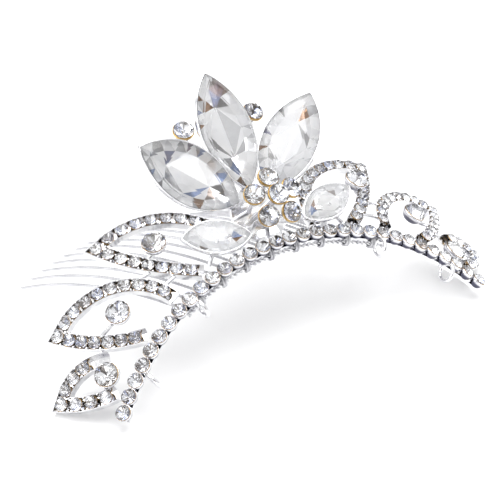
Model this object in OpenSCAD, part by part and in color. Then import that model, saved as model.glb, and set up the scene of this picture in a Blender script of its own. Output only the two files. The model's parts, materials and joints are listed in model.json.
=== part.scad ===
// Bridal tiara: a curved row of crystals with three pairs of leaf loops, a crystal
// flower at the middle and a wire comb behind. It is drawn as it stands when worn
// (front facing -Y, centre of the band at the origin) and then laid on its back,
// resting on the tips of the outer leaves and on the comb.

/* [Band] */
// Radius of the band in plan
band_r = 73.4; // [66:0.2:90]
// How far the front leans outwards as it rises, in degrees
flare = 27; // [15:1:35]
// Number of stones along the band
band_count = 32; // [28:2:36]
// Spacing of the stones along the band
band_pitch = 3.3; // [2.9:0.05:4.2]
// How much lower the ends of the band are than its middle
band_drop = 9.5; // [6:0.5:12]
// Diameter of a band stone
band_stone_d = 2.9; // [2.3:0.05:3.0]
// Depth of a band cup
band_cup_h = 2.1; // [1.9:0.1:2.8]
// Width of the flat wire that the cups are soldered to
rail_w = 1.5; // [1:0.1:2]
// Thickness of that wire
rail_t = 0.7; // [0.5:0.1:1]

/* [Leaves] */
// Outer width of a leaf's channel
leaf_w = 3.0; // [2.8:0.05:3.6]
// Height of the channel
leaf_h = 1.7; // [1.6:0.1:2.2]
// Diameter of a leaf stone
leaf_stone_d = 2.4; // [2:0.05:2.5]
// Spacing of the stones along a leaf
leaf_pitch = 2.75; // [2.6:0.05:3.4]

/* [Drop stones] */
// Diameter of the single stone inside a leaf
drop_d = 4.9; // [4:0.1:5.2]
// Diameter of the wire that holds it
drop_wire_d = 0.9; // [0.7:0.1:1.2]

/* [Flower] */
// Length of a large petal crystal
petal_l = 26; // [22:0.5:32]
// Width of a large petal crystal
petal_w = 12; // [10:0.5:14]
// Length of a side petal crystal
side_l = 14.6; // [12:0.2:17]
// Width of a side petal crystal
side_w = 7.2; // [6:0.2:8]
// Diameter of the stones of the middle cluster
cluster_d = 4.3; // [3.6:0.1:4.6]
// Radius of the ring of cluster stones
cluster_r = 4.6; // [4.5:0.1:5.5]
// Diameter of a bud stone between two petals
bud_d = 4.4; // [3.6:0.1:5]
// Radius of the plate behind the flower
plate_r = 6.2; // [5.5:0.1:7.5]

/* [Comb] */
// Number of teeth
tooth_count = 20; // [16:1:22]
// Spacing of the teeth along the band
tooth_pitch = 2.7; // [2.4:0.1:2.9]
// Length of a tooth
tooth_l = 51; // [40:1:56]
// Diameter of a tooth
tooth_d = 0.8; // [0.6:0.1:1]
// Diameter of the comb's spine
spine_d = 1.3; // [1:0.1:1.6]
// How far the teeth point back from the band's upright, in degrees
tooth_droop = 5.4; // [3:0.1:8]
// How far the comb is turned towards the left, in degrees
comb_turn = 13; // [0:1:16]

/* [Hidden] */
// Play between a stone and the bore of its cup
stone_fit = 0.03;
// Wall of the cups
cup_wall = 0.12;
// How far a soldered piece runs into the one that it is soldered to
solder = 0.15;
// How far a cup's rim stands over the girdle of its stone
rim_h = 0.12;
// Wall of a leaf's channel
leaf_wall = 0.22;
// Gap between the last stone of a leaf and the band
leaf_root_gap = 2.4;
// Longest straight step along a leaf's channel
leaf_step = 3;
// Wall of the petal settings, and how far each reaches below the girdle
petal_wall = 0.35;
petal_depth = 3.0;
side_depth = 2.2;
// Rise of the comb's teeth over the straight line from spine to tip
tooth_rise = 2.9;
// How much each tooth leans out for each millimetre away from the middle, in degrees
tooth_fan = 0.27;
// Wire and radius of the loops for hair pins
loop_wire = 0.8;
loop_r = 1.9;
// Radius of the small round struts
strut_r = 0.45;

// The three leaves of the left side, as u along the band and v up the flare:
// tip stone, end of the upper rail, its bulge, end of the lower rail, its bulge
LEAVES = [
    [[-30.6, 20.6], [-9.6, 2.4], 6.4, [-18.6, 1.3], 1.7],
    [[-47.4, 12.4], [-26.8, 0.3], 5.6, [-36.1, -2.2], 1.8],
    [[-57.0, 2.7], [-44.7, 0.4], 2.1, [-48.7, -5.8], 1.0]
];
// Stones left out at the band end of each leaf's upper rail, where the strip stays bare
BARE_STOPS = [0, 0, 1];
// The stone inside each leaf: [u, v], height over the surface, and the place
// along the lower rail where its wire starts, from 0 at the tip to 1 at the band
DROPS = [
    [[-23.0, 11.2], 3.6, 0.45],
    [[-36.8, 5.2], 1.6, 0.42],
    [[-47.2, -1.6], 0.2, 0.75]
];

// Flower: centre of its plate, tilt of its axis below straight forward,
// and for each petal its turn, its lift from the plate's plane and its roll
flower_at = [0, -3.2, 8.7];
flower_tilt = 53;
petal_gap = 5.5;
PETALS = [
    ["left", -54, 19, 15],
    ["centre", -2, 9, -1],
    ["right", 46, 4, 18]
];
// Ends of the left side petal nearest to and farthest from the flower's middle
side_inner = [-6.5, -2.4, 1.3];
side_outer = [-20.6, -4.5, 4.9];
side_roll = -12;
// Bracket from the band's wire to the back of the plate: width, thickness, how far it
// bows back and where its upper end is from the plate's middle
bracket_w = 5;
bracket_t = 0.8;
bracket_bow = 1.2;
bracket_head = [0, 0.8, 0.6];
// Plate, and the arms on it that carry the petals
plate_t = 1;
arm_w = 2.2;
arm_t = 0.8;
arm_share = 0.3;
// Posts of a side petal: how far behind its girdle they start, and the place on the
// surface and from the plate's middle where they end
side_post_back = 1.4;
side_post_root = [-16.6, 2.2, -1.2];
side_post_plate = [-4.4, 1.2, -2.6];
// Cluster: number of ring stones, height of the ring and of the middle stone over the
// plate, lean of the ring stones, turn of the ring, and the posts' diameters
cluster_count = 5;
cluster_h = 9.3;
cluster_top = 11.2;
cluster_splay = 14;
cluster_turn = -6;
ring_post_d = 1;
top_post_d = 1.2;
// Bud stone on the left, between two petals, with the way it faces and its wire's
// points from the plate's middle
bud_at = [-8.7, -21.1, 21.3];
bud_face = [-0.15, -0.78, -0.6];
BUD_ROUTE = [[-2.4, 0.6, 1.6], [-3.4, 0.2, 4.6], [-4.8, -5, 8.5], [-6, -7, 10]];
// Comb lashing: wire, pairs of turns along the comb, and the gap within a pair
lash_wire = 0.5;
lash_count = 8;
lash_gap = 0.05;

SIDES = ["left", "right"];
KINDS = ["leaf_frame", "leaf_stones", "drop_stem", "drop_cup", "drop_stone"];
PAIRS = ["side_setting", "side_crystal", "bud_stem", "bud_cup", "bud_stone"];

silver = [0.86, 0.86, 0.88];
gold = [0.86, 0.66, 0.34];
crystal = [0.88, 0.93, 0.97];

$fn = 32;

// ---- The surface that everything is set out on ----
// u runs along the band from its middle, v up the flare, lift out of the front.

function unit(p) = p / norm(p);
function turn(u) = u / band_r * 180 / PI;
function outward(u) = [sin(turn(u)) * cos(flare), -cos(turn(u)) * cos(flare), -sin(flare)];
function shell(u, v, lift = 0) =
    let (r = band_r + v * sin(flare))
    [r * sin(turn(u)), band_r - r * cos(turn(u)), v * cos(flare)] + lift * outward(u);
half_band = (band_count - 1) / 2 * band_pitch;
function band_v(u) = -band_drop * pow(u / half_band, 2);
function band_u(i) = (i - (band_count - 1) / 2) * band_pitch;
rail_lift = -band_cup_h - rail_t / 2 + solder;
spine_lift = rail_lift - rail_t / 2 - spine_d / 2 + solder;
spine_v = -0.9;

// Places children at a point with their Z along dir and their Y as near to up as it goes
module aim(at, dir, up = [0, 0, 1]) {
    z = unit(dir);
    x = unit(cross(up, z));
    y = cross(z, x);
    multmatrix([
        [x[0], y[0], z[0], at[0]],
        [x[1], y[1], z[1], at[1]],
        [x[2], y[2], z[2], at[2]],
        [0, 0, 0, 1]
    ]) children();
}

module on_shell(u, v, lift = 0) aim(shell(u, v, lift), outward(u)) children();

module rod(a, b, d) aim(a, b - a, [0.3, 0.2, 1]) cylinder(h = norm(b - a), d = d);

module for_side(s) {
    if (s == "left") children();
    else mirror([1, 0, 0]) children();
}

// A closed solid through rings that all have the same number of points
module loft(rings) {
    n = len(rings[0]);
    last = len(rings) - 1;
    polyhedron(
        points = [for (ring = rings, p = ring) p],
        faces = concat(
            [[for (i = [0:n - 1]) i]],
            [for (k = [0:last - 1], i = [0:n - 1])
                [k * n + i, (k + 1) * n + i, (k + 1) * n + (i + 1) % n]],
            [for (k = [0:last - 1], i = [0:n - 1])
                [k * n + i, (k + 1) * n + (i + 1) % n, k * n + (i + 1) % n]],
            [[for (i = [n - 1:-1:0]) last * n + i]]
        ),
        convexity = 6
    );
}

// A round tube through points, with its rings square to the route
function route_dir(route, k) = unit(route[min(k + 1, len(route) - 1)] - route[max(k - 1, 0)]);
module tube(route, d, sides = 6) {
    loft([for (k = [0:len(route) - 1])
        let (z = route_dir(route, k), x = unit(cross([0, -1, 0.1], z)), y = cross(z, x))
        [for (i = [0:sides - 1])
            route[k] + d / 2 * (x * cos(i * 360 / sides) + y * sin(i * 360 / sides))]
    ]);
}

// ---- Round stones and their cups ----

// Heights of a round stone over and under its girdle
function crown_h(d) = 0.24 * d;
function pavilion_h(d) = 0.4 * d;

module stone(d) {
    rotate_extrude()
        polygon([
            [0, crown_h(d)], [0.3 * d, crown_h(d)], [d / 2, 0.03 * d],
            [d / 2, -0.02 * d], [0.07 * d, -pavilion_h(d)], [0, -pavilion_h(d)]
        ]);
}

// A cup with its stone's girdle at height 0, straight at the rim and narrow at the foot
module cup(d, depth) {
    r = d / 2 + stone_fit;
    rotate_extrude()
        polygon([
            [0, -depth], [0.31 * d + cup_wall, -depth], [r + cup_wall, -0.45 * depth],
            [r + cup_wall, rim_h], [r, rim_h], [r, -0.42 * depth],
            [0.31 * d, -pavilion_h(d)], [0, -pavilion_h(d)]
        ]);
}
function cup_depth(d) = pavilion_h(d) + 0.45;

// ---- Band ----

module band_rail() color(silver) {
    steps = 2 * band_count;
    ends = half_band + band_stone_d / 3;
    loft([for (k = [0:steps])
        let (u = -ends + 2 * ends * k / steps, v = band_v(u))
        [
            shell(u, v - rail_w / 2, rail_lift - rail_t / 2),
            shell(u, v - rail_w / 2, rail_lift + rail_t / 2),
            shell(u, v + rail_w / 2, rail_lift + rail_t / 2),
            shell(u, v + rail_w / 2, rail_lift - rail_t / 2)
        ]
    ]);
}

module band_places() {
    for (i = [0:band_count - 1]) on_shell(band_u(i), band_v(band_u(i))) children();
}
module band_cups() color(silver) band_places() cup(band_stone_d, band_cup_h);
module band_stones() color(crystal) band_places() stone(band_stone_d);

// ---- Leaves ----

// Circular arc from a to b that bulges to the left of its way by bulge
function arc_half(a, b, bulge) = 2 * atan(2 * bulge / norm(b - a));
function arc_len(a, b, bulge) =
    let (h = arc_half(a, b, bulge)) norm(b - a) * (h * PI / 180) / sin(h);
function arc_at(a, b, bulge, t) =
    let (
        h = arc_half(a, b, bulge),
        r = norm(b - a) / 2 / sin(h),
        along = unit(b - a),
        left = [-along[1], along[0]],
        w = (2 * t - 1) * h
    )
    (a + b) / 2 + along * r * sin(w) + left * (r * cos(w) - r * cos(h));

function upper_at(leaf, t) = arc_at(leaf[0], leaf[1], leaf[2], t);
function lower_at(leaf, t) = arc_at(leaf[0], leaf[3], -leaf[4], t);
function upper_len(leaf) = arc_len(leaf[0], leaf[1], leaf[2]);
function lower_len(leaf) = arc_len(leaf[0], leaf[3], leaf[4]);

// Centre line of a leaf's channel, from the band over the tip and back
function leaf_line(leaf) =
    let (nu = floor(upper_len(leaf) / leaf_step), nl = floor(lower_len(leaf) / leaf_step))
    concat(
        [for (k = [nu:-1:0]) upper_at(leaf, k / nu)],
        [for (k = [1:nl]) lower_at(leaf, k / nl)]
    );

// Sideways direction at a point of the line, made longer where the line has its corner
function mitre(line, k) =
    let (
        before = unit(line[max(k, 1)] - line[max(k, 1) - 1]),
        after = unit(line[min(k, len(line) - 2) + 1] - line[min(k, len(line) - 2)]),
        side = unit([-before[1] - after[1], before[0] + after[0]])
    )
    side / (side * [-before[1], before[0]]);

leaf_top = rim_h;
// The points of a leaf's stones rest on the channel's floor
leaf_seat = -pavilion_h(leaf_stone_d);
function channel_section() = [
    [-leaf_w / 2, leaf_top - leaf_h], [-leaf_w / 2, leaf_top],
    [-leaf_w / 2 + leaf_wall, leaf_top], [-leaf_w / 2 + leaf_wall, leaf_seat],
    [leaf_w / 2 - leaf_wall, leaf_seat], [leaf_w / 2 - leaf_wall, leaf_top],
    [leaf_w / 2, leaf_top], [leaf_w / 2, leaf_top - leaf_h]
];

module leaf_frame(k) color(silver) {
    line = leaf_line(LEAVES[k - 1]);
    loft([for (i = [0:len(line) - 1])
        let (side = mitre(line, i))
        [for (s = channel_section()) shell(line[i][0] + s[0] * side[0], line[i][1] + s[0] * side[1], s[1])]
    ]);
}

// Places of a rail's stones after the tip stone, as shares of the rail
function rail_stops(length) =
    let (n = floor((length - leaf_root_gap) / leaf_pitch))
    [for (i = [1:n]) i * (length - leaf_root_gap) / n / length];

function leaf_places(k) =
    let (leaf = LEAVES[k], upper = rail_stops(upper_len(leaf)))
    concat(
        [leaf[0]],
        [for (i = [0:len(upper) - 1 - BARE_STOPS[k]]) upper_at(leaf, upper[i])],
        [for (t = rail_stops(lower_len(leaf))) lower_at(leaf, t)]
    );

module leaf_stones(k) color(crystal)
    for (p = leaf_places(k - 1)) on_shell(p[0], p[1]) stone(leaf_stone_d);

// ---- The single stone inside each leaf ----

function drop_centre(k) = shell(DROPS[k][0][0], DROPS[k][0][1], DROPS[k][1]);
function drop_foot(k) =
    let (p = lower_at(LEAVES[k], DROPS[k][2]), towards = unit(DROPS[k][0] - p) * (leaf_w / 2 - solder))
    shell(p[0] + towards[0], p[1] + towards[1], leaf_top - leaf_h / 2);

module drop_place(k) aim(drop_centre(k - 1), outward(DROPS[k - 1][0][0])) children();
module drop_stem(k) color(silver) {
    back = drop_centre(k - 1) - (cup_depth(drop_d) - solder) * outward(DROPS[k - 1][0][0]);
    rod(drop_foot(k - 1), back, drop_wire_d);
}
module drop_cup(k) color(gold) drop_place(k) cup(drop_d, cup_depth(drop_d));
module drop_stone(k) color(crystal) drop_place(k) stone(drop_d);

// ---- Pointed crystals and their settings ----

// Outline of two equal arcs that meet in a point at each end, with its length along Y
function navette(l, w, z, n = 12) =
    let (r = (l * l + w * w) / (4 * w), h = asin(l / 2 / r))
    concat(
        [for (i = [0:n - 1]) let (a = -h + 2 * h * i / n) [r * cos(a) - r + w / 2, r * sin(a), z]],
        [for (i = [0:n - 1]) let (a = h - 2 * h * i / n) [-r * cos(a) + r - w / 2, r * sin(a), z]]
    );

module navette_crystal(l, w) {
    loft([
        navette(0.42 * l, 0.1 * w, -0.2 * w),
        navette(l, w, -0.02 * w),
        navette(l, w, 0.03 * w),
        navette(0.62 * l, 0.55 * w, 0.17 * w)
    ]);
}

// A thin tapered wall around the crystal, open at the back
module navette_setting(l, w, depth) {
    fit = 2 * stone_fit;
    wall = 2 * petal_wall;
    difference() {
        loft([
            navette(0.8 * l, 0.66 * w, -depth),
            navette(l + fit + wall, w + fit + wall, -0.05 * w),
            navette(l + fit + wall, w + fit + wall, 0.3)
        ]);
        loft([
            navette(0.8 * l - 3 * wall, 0.66 * w - 1.5 * wall, -depth - 1),
            navette(0.8 * l - 2 * wall, 0.66 * w - wall, -depth),
            navette(l + fit, w + fit, -0.05 * w),
            navette(l + fit, w + fit, 1)
        ]);
    }
}

// ---- Flower ----

module flower_frame() translate(flower_at) rotate([90 + flower_tilt, 0, 0]) children();

// Frame of one petal: middle of the crystal, length along Y, face along Z
module petal_place(p)
    flower_frame() rotate([0, 0, -p[1]]) rotate([p[2], 0, 0]) rotate([0, -p[3], 0])
        translate([0, petal_gap + petal_l / 2, 0]) children();

module petal_setting(p) color(silver) petal_place(p) navette_setting(petal_l, petal_w, petal_depth);
module petal_crystal(p) color(crystal) petal_place(p) navette_crystal(petal_l, petal_w);

side_mid = (side_inner + side_outer) / 2;
function side_face() =
    let (way = unit(side_outer - side_inner), n = outward(-14))
    unit(n - way * (n * way));
module side_place()
    aim(side_mid, side_face(), side_outer - side_inner) rotate([0, side_roll, 0]) children();
module side_setting() color(silver) side_place() navette_setting(side_l, side_w, side_depth);
module side_crystal() color(crystal) side_place() navette_crystal(side_l, side_w);

module flower_plate() color(silver) flower_frame() {
    translate([0, 0, -plate_t]) cylinder(h = plate_t, r = plate_r);
    for (p = PETALS) rotate([0, 0, -p[1]])
        translate([-arm_w / 2, 0, -plate_t]) cube([arm_w, petal_gap + arm_share * petal_l, arm_t]);
}

module flower_bracket() color(silver) {
    foot = shell(0, 0, rail_lift);
    head = flower_at + bracket_head;
    loft([for (k = [0:4])
        let (t = k / 4, c = foot + t * (head - foot) + [0, bracket_bow * sin(180 * t), 0])
        [for (s = [[-1, -1], [1, -1], [1, 1], [-1, 1]])
            c + [s[0] * bracket_w / 2, s[1] * bracket_t / 2, 0]]
    ]);
}

module side_posts() color(silver) {
    for (s = SIDES) for_side(s) {
        back = side_mid - side_post_back * side_face();
        rod(back, shell(side_post_root[0], side_post_root[1], side_post_root[2]), 2 * strut_r);
        rod(back + 0.25 * (side_inner - side_mid), flower_at + side_post_plate, 2 * strut_r);
    }
}

// ---- Middle cluster, in the flower's frame ----

module ring_places()
    for (i = [0:cluster_count - 1]) rotate([0, 0, cluster_turn + i * 360 / cluster_count])
        translate([0, cluster_r, cluster_h]) rotate([-cluster_splay, 0, 0]) children();
module top_place() translate([0, 0, cluster_top]) children();

module cluster_posts() color(gold) flower_frame() {
    depth = cup_depth(cluster_d);
    foot_r = 0.8 * (cluster_r - (cluster_h - depth) * tan(cluster_splay));
    head = [0, cluster_r - sin(cluster_splay) * depth, cluster_h - cos(cluster_splay) * (depth - solder)];
    for (i = [0:cluster_count - 1]) rotate([0, 0, cluster_turn + i * 360 / cluster_count])
        rod([0, foot_r, -solder], head, ring_post_d);
    translate([0, 0, -solder]) cylinder(h = cluster_top - depth + 2 * solder, d = top_post_d);
}
module cluster_cups() color(gold) flower_frame() {
    ring_places() cup(cluster_d, cup_depth(cluster_d));
    top_place() cup(cluster_d, cup_depth(cluster_d));
}
module cluster_stones() color(crystal) flower_frame() {
    ring_places() stone(cluster_d);
    top_place() stone(cluster_d);
}

// ---- Buds on wires between the petals ----

module bud_place() aim(bud_at, bud_face) children();
module bud_stem() color(silver) {
    back = bud_at - (cup_depth(bud_d) - solder) * unit(bud_face);
    tube([
        flower_at + BUD_ROUTE[0], flower_at + BUD_ROUTE[1], flower_at + BUD_ROUTE[2],
        (2 * back + flower_at + BUD_ROUTE[3]) / 3, back
    ], drop_wire_d, 8);
}
module bud_cup() color(gold) bud_place() cup(bud_d, cup_depth(bud_d));
module bud_stone() color(crystal) bud_place() stone(bud_d);

// ---- Struts that tie each leaf to the next ----

// Shares of the way from tip to band, on one leaf's lower and the next leaf's upper rail
STRUTS = [[0, 0.8, 0.86], [0, 0.6, 0.6], [1, 0.5, 0.88]];
strut_reach = leaf_w / 2 - 2 * solder;
module leaf_struts() color(silver)
    for (side = SIDES) for_side(side) for (s = STRUTS) {
        a = lower_at(LEAVES[s[0]], s[1]);
        b = upper_at(LEAVES[s[0] + 1], s[2]);
        way = unit(b - a) * strut_reach;
        lift = leaf_top - 0.6 * leaf_h;
        rod(
            shell(a[0] + way[0], a[1] + way[1], lift),
            shell(b[0] - way[0], b[1] - way[1], lift), 2 * strut_r);
    }

// ---- Comb ----

half_comb = (tooth_count - 1) / 2 * tooth_pitch;
function spine_at(u) = shell(u, band_v(u) + spine_v, spine_lift);
function tooth_dir(u) =
    let (lean = tooth_fan * u - comb_turn)
    [sin(lean), cos(lean) * sin(tooth_droop), cos(lean) * cos(tooth_droop)];
function tooth_at(u, t) =
    spine_at(u) + tooth_l * t * tooth_dir(u)
    + 4 * t * (1 - t) * tooth_rise * [0, -cos(tooth_droop), sin(tooth_droop)];

module comb_spine() color(silver) {
    steps = 40;
    ends = half_comb + 1;
    tube([for (k = [0:steps]) spine_at(-ends + 2 * ends * k / steps)], spine_d, 8);
}

tooth_steps = 10;
module comb_teeth() color(silver)
    for (i = [0:tooth_count - 1]) {
        u = (i - (tooth_count - 1) / 2) * tooth_pitch;
        tube([for (k = [0:tooth_steps]) tooth_at(u, k / tooth_steps)], tooth_d);
    }

// Turns of thin wire round the band's flat wire and the comb's spine
lash_r = (rail_t + spine_d) / 2 + lash_wire / 2;
lash_lift = (rail_lift + spine_lift) / 2;
module comb_lashing() color(silver)
    for (i = [0:lash_count - 1], twin = [-1, 1]) {
        u = (i + 0.5) / lash_count * 2 * half_comb - half_comb + twin * (lash_wire + lash_gap) / 2;
        aim(shell(u, band_v(u) + spine_v / 2, lash_lift), [cos(turn(u)), sin(turn(u)), 0])
            rotate_extrude() translate([lash_r, 0]) circle(d = lash_wire, $fn = 24);
    }

// Small rings under the band for hair pins, two at the comb's ends and two farther out
LOOPS = [half_comb - 2, 42];
module pin_loops() color(silver)
    for (s = SIDES) for_side(s) for (u = LOOPS) {
        aim(shell(-u, band_v(u) - rail_w / 2 - loop_r + solder, rail_lift), [cos(turn(u)), -sin(turn(u)), 0])
            rotate_extrude() translate([loop_r, 0]) circle(d = loop_wire, $fn = 24);
    }

// ---- Laying the tiara on its back ----

// It rests on the back edges of the outer leaf tips and on the lowest of the teeth
outer_corner = mitre(leaf_line(LEAVES[2]), floor(upper_len(LEAVES[2]) / leaf_step)) * leaf_w / 2;
tip_uv = LEAVES[2][0] - outer_corner;
rest_leaf = shell(tip_uv[0], tip_uv[1], leaf_top - leaf_h);
tooth_ends = [for (i = [0:tooth_count - 1]) tooth_at((i - (tooth_count - 1) / 2) * tooth_pitch, 1)];
rest_heights = [for (p = tooth_ends) (rest_leaf[1] - p[1] - tooth_d / 2) / (p[2] - rest_leaf[2])];
lay_tilt = atan(min(rest_heights));
function laid_y(p) = -p[1] * sin(lay_tilt) + p[2] * cos(lay_tilt);
function laid_z(p) = -p[1] * cos(lay_tilt) - p[2] * sin(lay_tilt);
lay_drop = laid_z(rest_leaf);
// Front edge: the lowest point of the end cups. Back edge: the farthest tooth tip.
front_y = laid_y(shell(half_band, band_v(half_band) - band_stone_d / 2 - cup_wall, 0));
back_y = max([for (p = tooth_ends) laid_y(p)]);

module lay()
    translate([0, -(front_y + back_y) / 2, -lay_drop]) rotate([-90 - lay_tilt, 0, 0]) children();

lay() band_rail();
lay() band_cups();
lay() band_stones();
for (s = SIDES, k = [1:3]) {
    lay() for_side(s) leaf_frame(k);
    lay() for_side(s) leaf_stones(k);
    lay() for_side(s) drop_stem(k);
    lay() for_side(s) drop_cup(k);
    lay() for_side(s) drop_stone(k);
}
lay() flower_plate();
lay() flower_bracket();
for (p = PETALS) {
    lay() petal_setting(p);
    lay() petal_crystal(p);
}
for (s = SIDES) {
    lay() for_side(s) side_setting();
    lay() for_side(s) side_crystal();
    lay() for_side(s) bud_stem();
    lay() for_side(s) bud_cup();
    lay() for_side(s) bud_stone();
}
lay() side_posts();
lay() cluster_posts();
lay() cluster_cups();
lay() cluster_stones();
lay() leaf_struts();
lay() comb_spine();
lay() comb_teeth();
lay() comb_lashing();
lay() pin_loops();
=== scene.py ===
import json
import math
import random

import bmesh
import bpy
from mathutils import Matrix, Vector


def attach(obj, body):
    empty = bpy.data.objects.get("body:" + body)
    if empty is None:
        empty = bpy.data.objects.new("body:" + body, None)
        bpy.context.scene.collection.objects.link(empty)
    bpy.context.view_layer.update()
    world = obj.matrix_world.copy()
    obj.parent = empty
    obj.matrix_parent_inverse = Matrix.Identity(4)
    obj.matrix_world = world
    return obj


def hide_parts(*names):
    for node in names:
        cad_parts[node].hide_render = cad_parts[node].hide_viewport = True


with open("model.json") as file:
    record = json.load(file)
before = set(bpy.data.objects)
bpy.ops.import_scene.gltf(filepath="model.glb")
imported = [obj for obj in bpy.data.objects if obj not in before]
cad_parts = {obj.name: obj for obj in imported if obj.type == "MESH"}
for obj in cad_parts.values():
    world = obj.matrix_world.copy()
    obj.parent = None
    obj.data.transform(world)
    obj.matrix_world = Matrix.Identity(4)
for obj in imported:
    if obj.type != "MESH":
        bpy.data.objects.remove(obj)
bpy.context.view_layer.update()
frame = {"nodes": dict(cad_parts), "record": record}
nodes = frame["nodes"]
SLOT_OF = {part["node"]: part["material_slot"] for part in frame["record"]["subparts"]}


# ---- Studio ----
# A plain white table top in a white room with soft boxes above and at the left. The
# tiara lies on its back on it and is seen from its front, a little from the left.

MM = 0.001
camera_at = Vector((-130.53, -209.90, 162.10)) * MM
camera_aim = Vector((-6.388, -14.488, 20.756)) * MM
camera_roll = math.radians(0.195)
camera_lens = 95.26


class Value:
    """One output socket of a node tree. Arithmetic on it adds Math nodes."""

    def __init__(self, tree, socket):
        self.tree = tree
        self.socket = socket

    def math(self, operation, first, second):
        node = self.tree.nodes.new("ShaderNodeMath")
        node.operation = operation
        for socket, term in zip(node.inputs, (first, second)):
            if isinstance(term, Value):
                self.tree.links.new(term.socket, socket)
            else:
                socket.default_value = term
        return Value(self.tree, node.outputs[0])

    def __add__(self, other):
        return self.math("ADD", self, other)

    def __sub__(self, other):
        return self.math("SUBTRACT", self, other)

    def __rsub__(self, other):
        return self.math("SUBTRACT", other, self)

    def __mul__(self, other):
        return self.math("MULTIPLY", self, other)

    __radd__ = __add__
    __rmul__ = __mul__


class Finish:
    """A material, or the room's light, and the one way to add a node to it."""

    def __init__(self, owner):
        owner.use_nodes = True
        self.owner = owner
        self.tree = owner.node_tree
        self.tree.nodes.clear()

    def node(self, kind, settings=None, inputs=None, output=0):
        node = self.tree.nodes.new("ShaderNode" + kind)
        for name, value in (settings or {}).items():
            if name == "stops":
                self.set_stops(node.color_ramp, value)
            else:
                setattr(node, name, value)
        for name, value in (inputs or {}).items():
            if isinstance(value, Value):
                self.tree.links.new(value.socket, node.inputs[name])
            else:
                node.inputs[name].default_value = value
        if len(node.outputs) == 0:
            return None
        return Value(self.tree, node.outputs[output])

    def set_stops(self, ramp, stops):
        while len(ramp.elements) < len(stops):
            ramp.elements.new(1)
        for element, (place, colour) in zip(ramp.elements, stops):
            element.position = place
            element.color = (*colour, 1)


def show(obj):
    bpy.context.scene.collection.objects.link(obj)
    return obj


def soft_box(name, at, size, watts):
    light = bpy.data.lights.new(name, "AREA")
    light.shape = "RECTANGLE"
    light.size, light.size_y = size
    light.energy = watts
    obj = show(bpy.data.objects.new(name, light))
    obj.location = at
    obj.rotation_euler = (-Vector(at)).to_track_quat("-Z", "Y").to_euler()


lens = bpy.data.cameras.new("camera")
lens.lens = camera_lens
lens.clip_start = 0.01
camera = show(bpy.data.objects.new("camera", lens))
turned = (camera_aim - camera_at).to_track_quat("-Z", "Y").to_matrix().to_4x4()
camera.matrix_world = Matrix.Translation(camera_at) @ turned @ Matrix.Rotation(camera_roll, 4, "Z")
bpy.context.scene.camera = camera
bpy.context.scene.view_settings.view_transform = "Standard"

table_top = bmesh.new()
bmesh.ops.create_grid(table_top, x_segments=8, y_segments=8, size=6)
table_mesh = bpy.data.meshes.new("floor")
table_top.to_mesh(table_mesh)
floor = show(bpy.data.objects.new("floor", table_mesh))
paper = Finish(bpy.data.materials.new("white_paper"))
on_paper = paper.node("TexCoord", output="Object")
paper_tooth = paper.node("TexNoise", {}, {"Vector": on_paper, "Scale": 900})
paper_bump = paper.node("Bump", {}, {"Height": paper_tooth, "Strength": 0.05, "Distance": 0.0001})
paper_shader = paper.node("BsdfPrincipled", {}, {
    "Base Color": (0.93, 0.93, 0.93, 1), "Roughness": 0.9, "Specular IOR Level": 0.1, "Normal": paper_bump})
paper.node("OutputMaterial", {}, {"Surface": paper_shader})
floor.data.materials.append(paper.owner)

# The room: white overhead, with grey walls broken by darker gaps that the facets mirror,
# and a dark side in front of the table
dark_side = Vector((-0.45, -0.85, 0.12)).normalized()
dark_tone = (0.20, 0.19, 0.18, 1)
room_strength = 0.93
room = Finish(bpy.data.worlds.new("room"))
bpy.context.scene.world = room.owner
way = room.node("TexCoord", output="Generated")
high = room.node("SeparateXYZ", {}, {"Vector": way}, "Z")
panels = room.node("TexNoise", {}, {"Vector": way, "Scale": 2.4, "Detail": 0.5})
wall_tones = [(0.38, (0.55, 0.55, 0.57)), (0.47, (0.92, 0.92, 0.94)), (0.55, (1, 1, 1))]
wall = room.node("ValToRGB", {"stops": wall_tones}, {"Fac": panels})
ceiling = room.node("MapRange", {}, {"Value": high, "From Min": 0.4, "From Max": 0.7}, "Result")
toward = room.node("VectorMath", {"operation": "DOT_PRODUCT"}, {0: way, 1: dark_side}, "Value")
front = room.node("MapRange", {}, {"Value": toward, "From Min": 0.86, "From Max": 0.95}, "Result")
walls = room.node("Mix", {"data_type": "RGBA"}, {0: ceiling, 6: wall, 7: (1, 1, 1, 1)}, 2)
tone = room.node("Mix", {"data_type": "RGBA"}, {0: front, 6: walls, 7: dark_tone}, 2)
glow = room.node("Background", {}, {"Color": tone, "Strength": room_strength})
room.node("OutputWorld", {}, {"Surface": glow})
soft_box("box_above", (0.1, 0.1, 0.9), (0.9, 0.9), 7.5)
soft_box("box_left", (-0.9, 0.1, 0.5), (0.5, 0.7), 4)


# ---- Surface of the tiara ----
# Everything is set out on a flared shell, like a slice of a cone that stands round the
# head: u runs along the band from its middle, v up the flare, lift out of the front.

band_r = 73.4
flare = math.radians(27)
band_count = 32
band_pitch = 3.3
band_drop = 9.5
lay_tilt = math.radians(11.0888)
lay_shift = Vector((0, -17.0295, 22.8159))
half_band = (band_count - 1) / 2 * band_pitch
# From the tiara as it is worn, in millimetres, to the tiara on its back, in metres
laid = (Matrix.Scale(MM, 4) @ Matrix.Translation(lay_shift)
        @ Matrix.Rotation(-math.pi / 2 - lay_tilt, 4, "X"))


def outward(u):
    turn = u / band_r
    return Vector((math.sin(turn) * math.cos(flare), -math.cos(turn) * math.cos(flare), -math.sin(flare)))


def shell(u, v, lift=0.0):
    turn = u / band_r
    r = band_r + v * math.sin(flare)
    on_it = Vector((r * math.sin(turn), band_r - r * math.cos(turn), v * math.cos(flare)))
    return laid @ (on_it + lift * outward(u))


def band_v(u):
    return -band_drop * (u / half_band) ** 2


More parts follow.
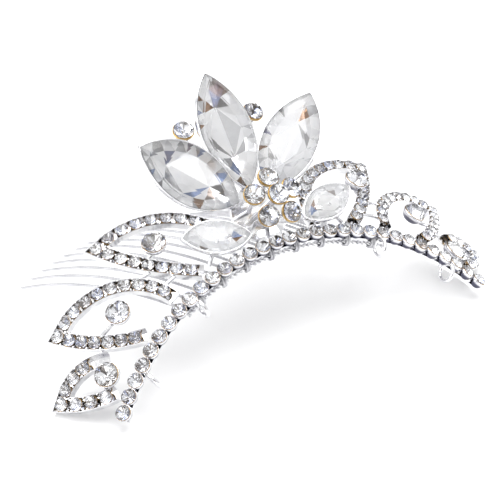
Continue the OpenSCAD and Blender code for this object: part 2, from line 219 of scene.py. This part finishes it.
# ---- Finishes ----
# Bright silver plating on the frame, gilt on the cups of the cluster and the buds, lead
# glass with a foiled back for every stone. The plating is polished, with a little haze and
# fine wear.

def plating(name, bright, dull, roughness, haze, foot=None):
    """Polished plating. With foot given, its colour turns to that towards the foot of a cup; on the
    silver cups this foot colour is a painted shade.
    """
    finish = Finish(bpy.data.materials.new(name))
    where = finish.node("TexCoord", output="Object")
    cloud = finish.node("TexNoise", {}, {"Vector": where, "Scale": 420, "Detail": 3})
    fine = finish.node("TexNoise", {}, {"Vector": where, "Scale": 5200, "Detail": 2})
    colour = finish.node("ValToRGB", {"stops": [(0.3, dull), (0.6, bright)]}, {"Fac": cloud})
    bump = finish.node("Bump", {}, {"Height": fine, "Strength": 0.25, "Distance": 0.00002})
    # On the silver cups the foot colour is a painted shade, mixed in towards the foot of each cup
    if foot:
        down = finish.node("Attribute", {"attribute_name": "foot"}, {}, "Fac")
        shade = finish.node("MapRange", {}, {
            "Value": down + cloud * 0.2, "From Min": 0.38, "From Max": 0.62}, "Result")
        colour = finish.node("Mix", {"data_type": "RGBA"}, {0: shade, 6: colour, 7: (*foot, 1)}, 2)
    shader = finish.node("BsdfPrincipled", {}, {
        "Base Color": colour, "Metallic": 1.0, "Roughness": roughness + cloud * haze, "Normal": bump})
    finish.node("OutputMaterial", {}, {"Surface": shader})
    return finish.owner


def cut_glass(name, tint, ior):
    finish = Finish(bpy.data.materials.new(name))
    where = finish.node("TexCoord", output="Object")
    cloud = finish.node("TexNoise", {}, {"Vector": where, "Scale": 160, "Detail": 1})
    colour = finish.node("ValToRGB", {"stops": [(0.35, tint), (0.65, (1, 1, 1))]}, {"Fac": cloud})
    shader = finish.node("BsdfPrincipled", {}, {
        "Base Color": colour, "Roughness": cloud * 0.01, "Transmission Weight": 1.0, "IOR": ior})
    finish.node("OutputMaterial", {}, {"Surface": shader})
    return finish.owner


def foil(name, stops, mirror_gain=None):
    """Foil on the back facets. Each facet's own number picks its colour: a painted reflection, white,
    grey or dark, or a painted brown or blue glint. The foil is a full mirror, or, with mirror_gain
    given, as much of one as the facet's number times that."""
    finish = Finish(bpy.data.materials.new(name))
    flash = finish.node("Attribute", {"attribute_name": "flash"}, {}, "Fac")
    where = finish.node("TexCoord", output="Object")
    cloud = finish.node("TexNoise", {}, {"Vector": where, "Scale": 900, "Detail": 2})
    colour = finish.node("ValToRGB", {"stops": stops}, {"Fac": flash + cloud * 0.02})
    mirror = flash * mirror_gain if mirror_gain else 1.0
    shader = finish.node("BsdfPrincipled", {}, {
        "Base Color": colour, "Metallic": mirror, "Roughness": 0.04 + cloud * 0.06})
    finish.node("OutputMaterial", {}, {"Surface": shader})
    return finish.owner


silver = plating("silver_plate", (0.93, 0.93, 0.94), (0.68, 0.68, 0.71), 0.05, 0.12)
# The silver cups' dark foot colour is a painted shade in the bowl of each cup
silver_cup = plating("silver_cup", (0.93, 0.93, 0.95), (0.66, 0.66, 0.70), 0.05, 0.10, (0.10, 0.10, 0.14))
gilt = plating("gilt", (0.70, 0.50, 0.21), (0.30, 0.18, 0.06), 0.08, 0.14, (0.86, 0.86, 0.88))
# The gilt lip of each stone's foil is darker than the lacquer: a painted shade between the stones
gilt_lip_and_painted_shade = plating("foil_edge", (0.42, 0.27, 0.10), (0.16, 0.09, 0.04), 0.15, 0.2)
wire = plating("comb_wire", (0.60, 0.60, 0.62), (0.44, 0.44, 0.47), 0.3, 0.2)
glass = cut_glass("stone_glass", (0.96, 0.97, 1.0), 1.56)
petal_glass = cut_glass("petal_glass", (0.97, 0.98, 1.0), 1.52)
# The foils' colour stops are painted reflections and glints: white, greys and dark brown for mirrored
# surroundings, brown and blue for flashes of colour
small_foil = foil("small_foil", [
    (0.0, (1.0, 1.0, 1.0)), (0.45, (0.92, 0.93, 0.95)), (0.62, (0.62, 0.62, 0.64)),
    (0.78, (0.33, 0.31, 0.30)), (0.90, (0.13, 0.10, 0.08)), (0.97, (0.45, 0.50, 0.66))])
petal_foil = foil("petal_foil", [
    (0.0, (1.0, 1.0, 1.0)), (0.80, (0.99, 0.99, 1.0)), (0.86, (0.68, 0.68, 0.69)),
    (0.92, (0.36, 0.35, 0.35)), (0.955, (0.38, 0.22, 0.12)), (0.985, (0.34, 0.42, 0.64))], 0.65)

# ---- Round stones ----
# Small brilliants of lead glass, foiled behind: an eight-sided table, kites and halves
# round it, and sixteen and eight facets that meet in a point below. The measures are for a
# stone of diameter 1, from its girdle.

table_r = 0.29
table_h = 0.24
kite_r = 0.42
kite_h = 0.14
girdle_h = 0.02
back_r = 0.27
back_h = 0.205
point_h = 0.40


def ring(mesh, count, radius, height, turn=0.0):
    at = Matrix.Translation((0, 0, height)) @ Matrix.Rotation(turn, 4, "Z")
    bmesh.ops.create_circle(mesh, segments=count, radius=radius, matrix=at)


def wrap(mesh):
    """Leaves only the tight skin round the points of a mesh, with flat facets."""
    found = bmesh.ops.convex_hull(mesh, input=mesh.verts, use_existing_faces=False)
    spare = {g for g in found["geom_interior"] + found["geom_unused"] if isinstance(g, bmesh.types.BMVert)}
    bmesh.ops.delete(mesh, geom=list(spare), context="VERTS")
    loose = [e for e in mesh.edges if not e.link_faces]
    bmesh.ops.delete(mesh, geom=loose, context="EDGES")
    bmesh.ops.dissolve_limit(mesh, angle_limit=math.radians(0.6), verts=mesh.verts, edges=mesh.edges)
    bmesh.ops.recalc_face_normals(mesh, faces=mesh.faces)


def back_facets(mesh, below):
    """Facets behind the girdle carry the foil, material 1."""
    for face in mesh.faces:
        face.material_index = 1 if face.calc_center_median().z < below else 0


def lip_profile(mesh, points):
    """A thin turned ring, closed round its section, on material 2."""
    corners = [mesh.verts.new(p) for p in points]
    edges = [mesh.edges.new((corners[i - 1], corners[i])) for i in range(len(corners))]
    before = set(mesh.faces)
    bmesh.ops.spin(mesh, geom=corners + edges, axis=(0, 0, 1), cent=(0, 0, 0), steps=16,
                   angle=2 * math.pi, use_merge=True)
    fresh = [f for f in mesh.faces if f not in before]
    bmesh.ops.recalc_face_normals(mesh, faces=fresh)
    for face in fresh:
        face.material_index = 2
        face.smooth = True


def make_brilliant():
    mesh = bmesh.new()
    eighth = math.pi / 8
    ring(mesh, 8, table_r, table_h)
    ring(mesh, 8, kite_r, kite_h, eighth)
    ring(mesh, 16, 0.5, girdle_h)
    ring(mesh, 16, 0.5, -girdle_h)
    ring(mesh, 8, back_r, -back_h, eighth)
    mesh.verts.new((0, 0, -point_h))
    wrap(mesh)
    back_facets(mesh, -1.5 * girdle_h)
    # gilt edge of the foil, just under the girdle, darkened as painted shade between the stones
    lip_profile(mesh, [(0.485, 0, -0.03), (0.515, 0, -0.02), (0.525, 0, -0.07), (0.46, 0, -0.12)])
    flat = bpy.data.meshes.new("brilliant")
    mesh.to_mesh(flat)
    return flat


brilliant = make_brilliant()


def solids_of(mesh):
    """The separate solids of a mesh, each as a list of its vertices."""
    solids = []
    for vert in mesh.verts:
        if vert.tag:
            continue
        vert.tag = True
        solid = [vert]
        for near in solid:
            for edge in near.link_edges:
                other = edge.other_vert(near)
                if not other.tag:
                    other.tag = True
                    solid.append(other)
        solids.append(solid)
    return solids


def seats(node, crown):
    """Where each stone of a CAD node sits: a matrix with the table along Z and the length
    along Y, then the length and the width. The origin is at the girdle."""
    found = []
    mesh = bmesh.new()
    mesh.from_mesh(nodes[node].data)
    bmesh.ops.remove_doubles(mesh, verts=mesh.verts, dist=0.004 * MM)
    mesh.faces.index_update()
    for solid in solids_of(mesh):
        areas = {}
        for face in {f.index: f for v in solid for f in v.link_faces}.values():
            key = tuple(round(c, 2) for c in face.normal)
            total, _ = areas.get(key, (0, None))
            areas[key] = (total + face.calc_area(), face)
        table = max(areas.values(), key=lambda entry: entry[0])[1]
        z = table.normal.copy()
        level = max(v.co.dot(z) for v in solid)
        rim = [v.co for v in solid if level - v.co.dot(z) < 0.01 * MM]
        top = sum(rim, Vector()) / len(rim)
        flat = [v.co - top - z * (v.co - top).dot(z) for v in solid]
        reach = max(flat, key=lambda p: round(p.length, 7))
        y = reach.normalized()
        if y.y < 0:
            y = -y
        x = y.cross(z)
        width = 2 * max(abs(p.dot(x)) for p in flat)
        base = top - crown * width * z
        frame_at = Matrix((x, y, z)).transposed().to_4x4()
        frame_at.translation = base
        found.append((frame_at, 2 * reach.length, width))
    return found


def add_copy(mesh, shape, at):
    """Adds a copy of a finished shape to a mesh, at a matrix."""
    copy = shape.copy()
    copy.transform(at)
    mesh.from_mesh(copy)
    bpy.data.meshes.remove(copy)


def set_in_place(name, data, node):
    """Shows a finished mesh as the piece that stands for a CAD node."""
    piece = show(bpy.data.objects.new(name, data))
    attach(piece, "root")
    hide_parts(node)


def finish_piece(name, mesh, materials, node):
    data = bpy.data.meshes.new(name)
    mesh.to_mesh(data)
    for material in materials:
        data.materials.append(material)
    set_in_place(name, data, node)


def round_stones(node, seed, grow=1.0, proud=0.0):
    """Replaces each round stone of a node with a cut one, each at its own turn."""
    draw = random.Random(seed)
    mesh = bmesh.new()
    for at, _, width in seats(node, table_h):
        turn = Matrix.Rotation(draw.uniform(0, math.pi), 4, "Z")
        lifted = at @ Matrix.Translation((0, 0, proud))
        add_copy(mesh, brilliant, lifted @ turn @ Matrix.Scale(grow * width, 4))
    # Each facet's number picks its painted reflection or painted glint in the foil
    flash = mesh.faces.layers.float.new("flash")
    for face in mesh.faces:
        face[flash] = draw.random()
    finish_piece(node + "_cut", mesh, [glass, small_foil, gilt_lip_and_painted_shade], node)


band_grow = 1.05
leaf_grow = 1.1
leaf_proud = 0.14 * MM
round_stones("band_stones", 1, band_grow)
for side in ("left", "right"):
    for k in (1, 2, 3):
        round_stones(f"leaf_stones_{side}_{k}", 10 + k, leaf_grow, leaf_proud)
        round_stones(f"drop_stone_{side}_{k}", 20 + k)
    round_stones(f"bud_stone_{side}", 30)
round_stones("cluster_stones", 31)


# ---- Cups ----
# Each round stone outside the channels sits in a cup pressed from thin sheet, with a
# rolled rim. The cups of the cluster and the buds are gilt, and silver at the foot. Those
# of the band and of the drops are silver, with a painted shade that darkens them at the foot.

drop_d = 4.9
bud_d = 4.4
cluster_d = 4.3
single_foot = 0.45 * MM
single_rim = -0.05
band_cup_depth = 2.0 * MM
band_rim = -0.06


def make_cup(depth, rim):
    """A cup for a stone of diameter 1, with its girdle at height 0."""
    mesh = bmesh.new()
    wall = 0.5 + 0.02
    profile = [
        (0, -depth), (0.22, -depth), (0.33, -0.93 * depth), (0.44, -0.74 * depth), (wall, -0.42 * depth),
        (wall + 0.008, -0.2), (wall + 0.012, rim - 0.04), (wall + 0.005, rim), (wall - 0.02, rim - 0.01),
        (wall - 0.025, -0.15), (0.40, -0.28), (0.1, -0.42), (0, -0.42)]
    corners = [mesh.verts.new((r, 0, z)) for r, z in profile]
    edges = [mesh.edges.new(pair) for pair in zip(corners, corners[1:])]
    bmesh.ops.spin(mesh, geom=corners + edges, axis=(0, 0, 1), cent=(0, 0, 0), steps=28,
                   angle=2 * math.pi, use_merge=True)
    bmesh.ops.remove_doubles(mesh, verts=mesh.verts, dist=1e-5)
    bmesh.ops.recalc_face_normals(mesh, faces=mesh.faces)
    # The foot weight, 0 at the rim and 1 at the foot, masks the foot colour: a painted shade in the silver
    # cups
    foot = mesh.verts.layers.float.new("foot")
    for vert in mesh.verts:
        vert[foot] = min(1, max(0, -vert.co.z / depth))
    shape = bpy.data.meshes.new("cup")
    for face in mesh.faces:
        face.smooth = True
    mesh.to_mesh(shape)
    return shape


def cups(node, stones, metal, depth, rim, grow=1.0):
    mesh = bmesh.new()
    for at, _, width in seats(stones, table_h):
        add_copy(mesh, make_cup(depth / width, rim), at @ Matrix.Scale(grow * width, 4))
    finish_piece(node + "_turned", mesh, [metal], node)


def single_cup(node, stones, metal, d):
    """Cups for stones of diameter d, as deep as the stone and a foot under its point."""
    cups(node, stones, metal, point_h * d * MM + single_foot, single_rim)


cups("band_cups", "band_stones", silver_cup, band_cup_depth, band_rim, band_grow)
for side in ("left", "right"):
    for k in (1, 2, 3):
        single_cup(f"drop_cup_{side}_{k}", f"drop_stone_{side}_{k}", silver_cup, drop_d)
    single_cup(f"bud_cup_{side}", f"bud_stone_{side}", gilt, bud_d)
single_cup("cluster_cups", "cluster_stones", gilt, cluster_d)


# ---- Leaf channels ----
# Each leaf is one strip of silver-plated channel, bent to a point at its tip. Stones lie
# in it in a row, held by small beads raised from the two walls.

leaf_w = 3.0
leaf_h = 1.7
leaf_wall = 0.22
leaf_top = 0.12
# Height of the channel's floor, just under the points of the stones
leaf_seat = -0.96
leaf_pitch = 2.75
leaf_root_gap = 2.4
tip_clear = 3.0
LEAVES = [
    [(-30.6, 20.6), (-9.6, 2.4), 6.4, (-18.6, 1.3), 1.7],
    [(-47.4, 12.4), (-26.8, 0.3), 5.6, (-36.1, -2.2), 1.8],
    [(-57.0, 2.7), (-44.7, 0.4), 2.1, (-48.7, -5.8), 1.0],
]
# Stones left out at the band end of each leaf's upper rail
BARE_STOPS = [0, 0, 1]


def arc_half(a, b, bulge):
    return 2 * math.atan(2 * bulge / (b - a).length)


def arc_length(a, b, bulge):
    half = arc_half(a, b, bulge)
    return (b - a).length * half / math.sin(half)


def arc_at(a, b, bulge, t):
    """Point at share t of the arc from a to b that bulges to the left of its way."""
    half = arc_half(a, b, bulge)
    r = (b - a).length / 2 / math.sin(half)
    along = (b - a).normalized()
    left = Vector((-along.y, along.x))
    w = (2 * t - 1) * half
    return (a + b) / 2 + along * r * math.sin(w) + left * (r * math.cos(w) - r * math.cos(half))


def rails(leaf):
    """The upper and the lower rail of a leaf, each from the tip to the band."""
    tip, upper, bulge, lower, low_bulge = leaf
    tip, upper, lower = Vector(tip), Vector(upper), Vector(lower)
    return [(tip, upper, bulge), (tip, lower, -low_bulge)]


def rail_line(rail):
    """Points down a rail after the tip: one clear of the corner, then about every millimetre."""
    length = arc_length(rail[0], rail[1], abs(rail[2]))
    count = int(length - tip_clear)
    shares = [(tip_clear + (length - tip_clear) * i / count) / length for i in range(count + 1)]
    return [arc_at(*rail, share) for share in shares]


def mitre(line, k):
    before = (line[max(k, 1)] - line[max(k, 1) - 1]).normalized()
    after_at = min(k, len(line) - 2)
    after = (line[after_at + 1] - line[after_at]).normalized()
    side = Vector((-before.y - after.y, before.x + after.x)).normalized()
    return side / side.dot(Vector((-before.y, before.x)))


def skin(mesh, rows, caps=True):
    """A closed skin over rows of points. Each row is closed; equal first and last rows close it."""
    count, last = len(rows[0]), len(rows) - 1
    grid = bmesh.ops.create_grid(mesh, x_segments=count, y_segments=last, size=0.5)["verts"]
    for vert in grid:
        i = round((vert.co.y + 0.5) * last)
        j = round((vert.co.x + 0.5) * count)
        vert.co = rows[i][j % count]
    bmesh.ops.remove_doubles(mesh, verts=grid, dist=1e-7)
    if caps:
        rims = [e for e in mesh.edges if e.is_boundary]
        bmesh.ops.holes_fill(mesh, edges=rims, sides=0)
    bmesh.ops.recalc_face_normals(mesh, faces=mesh.faces)


def channel_section():
    half, base = leaf_w / 2, leaf_top - leaf_h
    soft = 0.08
    outer = [(half - soft, base), (half, base + soft), (half, leaf_top - soft), (half - soft, leaf_top)]
    inner = [(half - leaf_wall, leaf_top - soft), (half - leaf_wall, leaf_seat)]
    right = outer + inner
    return [(-x, y) for x, y in right] + [(x, y) for x, y in reversed(right)]


def bead_shape():
    mesh = bmesh.new()
    bmesh.ops.create_icosphere(mesh, subdivisions=2, radius=1)
    for face in mesh.faces:
        face.smooth = True
    shape = bpy.data.meshes.new("bead")
    mesh.to_mesh(shape)
    return shape


bead = bead_shape()
bead_r = 0.26
# How far a bead stands in from the channel's side, and over its top
bead_in = 0.3
bead_up = 0.02


def rail_stops(length):
    count = math.floor((length - leaf_root_gap) / leaf_pitch)
    return [i * (length - leaf_root_gap) / count / length for i in range(1, count + 1)]


def leaf_channel(side, k):
    flip = 1 if side == "left" else -1
    upper, lower = rails(LEAVES[k - 1])
    line = list(reversed(rail_line(upper))) + [upper[0]] + rail_line(lower)

    def on(point, lift):
        return shell(flip * point.x, point.y, lift)

    mesh = bmesh.new()
    rows = []
    for i in range(len(line)):
        across = mitre(line, i)
        rows.append([on(line[i] + x * across, y) for x, y in channel_section()])
    skin(mesh, rows)
    for face in mesh.faces:
        face.smooth = False
    for rail, bare in ((upper, BARE_STOPS[k - 1]), (lower, 0)):
        length = arc_length(rail[0], rail[1], abs(rail[2]))
        stops = [0] + rail_stops(length)
        stops = stops[:len(stops) - bare]
        for a, b in zip(stops, stops[1:]):
            t = (a + b) / 2
            here, ahead = arc_at(*rail, t), arc_at(*rail, t + 0.01)
            along = (ahead - here).normalized()
            across = Vector((-along.y, along.x))
            for hand in (-1, 1):
                at = on(here + hand * (leaf_w / 2 - bead_in) * across, leaf_top + bead_up)
                add_copy(mesh, bead, Matrix.Translation(at) @ Matrix.Scale(bead_r * MM, 4))
    node = f"leaf_frame_{side}_{k}"
    finish_piece(node + "_channel", mesh, [silver], node)


for side in ("left", "right"):
    for k in (1, 2, 3):
        leaf_channel(side, k)


# ---- Pointed crystals ----
# Five leaf-shaped fancy stones of clear glass with a silvered back: three large petals
# and two small side petals. Long table, two rows of facets round it, and a keel behind.

pointed_table = 0.17
# Only the small facets get a painted glint of colour. Past this share of the stone's length times its
# width their painted reflection stays white or grey.
big_facet = 0.035
big_shade = 0.88
# Thickness of the settings' plated sheet
sheet = 0.35 * MM
petal_depth = 3.0 * MM
side_depth = 2.2 * MM


def outline(length, width, count):
    """Points round a shape of two equal arcs that meet in a point at each end."""
    r = (length ** 2 + width ** 2) / (4 * width)
    half = math.asin(length / 2 / r)
    points = []
    for hand in (1, -1):
        for i in range(count):
            a = hand * (-half + 2 * half * i / count)
            points.append((hand * (r * math.cos(a) - r + width / 2), r * math.sin(a)))
    return points


def make_navette(length, count):
    """A pointed stone of width 1, with its girdle at height 0."""
    mesh = bmesh.new()

    def loop(l, w, z, n):
        for x, y in outline(l, w, n):
            mesh.verts.new((x, y, z))

    loop(length, 1, 0.03, 2 * count)
    loop(length, 1, -0.02, 2 * count)
    loop(0.86 * length, 0.83, 0.115, count)
    loop(0.62 * length, 0.52, pointed_table, 3)
    loop(0.72 * length, 0.60, -0.125, count - 1)
    for share in (-0.21, -0.07, 0.07, 0.21):
        mesh.verts.new((0, share * length, -0.21))
    wrap(mesh)
    back_facets(mesh, -0.03)
    shape = bpy.data.meshes.new("navette")
    mesh.to_mesh(shape)
    return shape


def pointed_crystal(node, seed, count):
    draw = random.Random(seed)
    at, length, width = seats(node, pointed_table)[0]
    mesh = bmesh.new()
    add_copy(mesh, make_navette(length / width, count), at @ Matrix.Scale(width, 4))
    # Each facet's number picks its painted reflection or painted glint in the foil
    flash = mesh.faces.layers.float.new("flash")
    for face in mesh.faces:
        face[flash] = draw.random()
        if face.calc_area() > big_facet * length * width:
            face[flash] *= big_shade
    finish_piece(node + "_cut", mesh, [petal_glass, petal_foil], node)


def pointed_setting(node, crystal, depth):
    """A thin wall of plated sheet round the crystal, leaning in to the back, its rim rolled over."""
    at, length, width = seats(crystal, pointed_table)[0]
    arc_points = 24
    levels = [
        (0.80, 0.66, 0, -depth), (1, 1, sheet, -0.3 * depth), (1, 1, sheet, 0.15 * MM),
        (1, 1, 0.6 * sheet, 0.32 * MM), (1, 1, -0.3 * sheet, 0.30 * MM), (1, 1, 0.1 * sheet, 0.02 * MM),
        (1, 1, 0.1 * sheet, -0.3 * depth), (0.78, 0.62, 0, -depth)]
    sections = []
    for share_l, share_w, out, z in levels:
        loop = outline(share_l * length + 2 * out, share_w * width + 2 * out, arc_points)
        sections.append([at @ Vector((x, y, z)) for x, y in loop])
    round_it = len(sections[0])
    rows = [[section[i % round_it] for section in sections] for i in range(round_it + 1)]
    mesh = bmesh.new()
    skin(mesh, rows, caps=False)
    for face in mesh.faces:
        face.smooth = True
    finish_piece(node + "_rim", mesh, [silver], node)


for place, seed in (("left", 3), ("centre", 5), ("right", 8)):
    pointed_crystal(f"petal_crystal_{place}", seed, 9)
    pointed_setting(f"petal_setting_{place}", f"petal_crystal_{place}", petal_depth)
for side in ("left", "right"):
    pointed_crystal(f"side_crystal_{side}", 12, 7)
    pointed_setting(f"side_setting_{side}", f"side_crystal_{side}", side_depth)


# ---- Comb ----
# Twenty teeth of two fine wires twisted together, and a spine of two thicker ones, tied
# behind the band. The wire is silver-plated.

tooth_count = 20
tooth_pitch = 2.7
tooth_l = 51
tooth_rise = 2.9
tooth_fan = math.radians(0.27)
tooth_droop = math.radians(5.4)
comb_turn = math.radians(13)
spine_v = -0.9
band_cup_h = 2.1
rail_t = 0.7
spine_d = 1.3
solder = 0.15
rail_lift = -band_cup_h - rail_t / 2 + solder
spine_lift = rail_lift - rail_t / 2 - spine_d / 2 + solder
half_comb = (tooth_count - 1) / 2 * tooth_pitch
tooth_steps = 300
spine_steps = 300
# One of the two wires of a tooth and of the spine, and the length of one full twist
tooth_wire = 0.36
tooth_twist = 1.7
spine_wire = 0.5
spine_twist = 2.4


def strands(name, paths, thick, pitch, metal, node):
    """Two round wires twisted about each path."""
    line = bpy.data.curves.new(name, "CURVE")
    line.dimensions = "3D"
    line.bevel_depth = thick / 2 * MM
    line.bevel_resolution = 1
    line.use_fill_caps = True
    for path in paths:
        for twin in (0, math.pi):
            spline = line.splines.new("POLY")
            spline.points.add(len(path) - 1)
            run = 0
            for i, point in enumerate(path):
                ahead = (path[min(i + 1, len(path) - 1)] - path[max(i - 1, 0)]).normalized()
                if i:
                    run += (point - path[i - 1]).length
                x = ahead.cross(Vector((0.2, 0, 1))).normalized()
                y = ahead.cross(x)
                a = twin + 2 * math.pi * run / (pitch * MM)
                off = (x * math.cos(a) + y * math.sin(a)) * thick / 2 * MM
                spline.points[i].co = (*(point + off), 1)
    twisted = bpy.data.objects.new(name + "_line", line)
    data = bpy.data.meshes.new_from_object(twisted)
    data.materials.clear()
    data.materials.append(metal)
    bpy.data.objects.remove(twisted)
    for face in data.polygons:
        face.use_smooth = True
    data.name = name
    set_in_place(name, data, node)


def spine_at(u):
    return shell(u, band_v(u) + spine_v, spine_lift)


def tooth_at(u, t):
    lean = tooth_fan * u - comb_turn
    way = Vector((
        math.sin(lean), math.cos(lean) * math.sin(tooth_droop), math.cos(lean) * math.cos(tooth_droop)))
    rise = Vector((0, -math.cos(tooth_droop), math.sin(tooth_droop)))
    offset = tooth_l * t * way + 4 * t * (1 - t) * tooth_rise * rise
    return spine_at(u) + laid.to_3x3() @ offset


def along_tooth(i):
    u = (i - (tooth_count - 1) / 2) * tooth_pitch
    return [tooth_at(u, k / tooth_steps) for k in range(tooth_steps + 1)]


teeth = [along_tooth(i) for i in range(tooth_count)]
strands("comb_teeth_twisted", teeth, tooth_wire, tooth_twist, wire, "comb_teeth")
spine_end = half_comb + 1
spine_path = [spine_at(-spine_end + 2 * spine_end * k / spine_steps) for k in range(spine_steps + 1)]
strands("comb_spine_twisted", [spine_path], spine_wire, spine_twist, silver, "comb_spine")


# ---- Pieces with the drawn shape ----
# Flat and round wires, posts, struts, the flower's plate and bracket, the lashing and
# the pin loops keep their drawn shape and get their plating.

METALS = {"silver_plate": silver, "comb_wire": wire}
for node, obj in nodes.items():
    if not obj.hide_render:
        obj.data.materials.clear()
        obj.data.materials.append(METALS[SLOT_OF[node]])
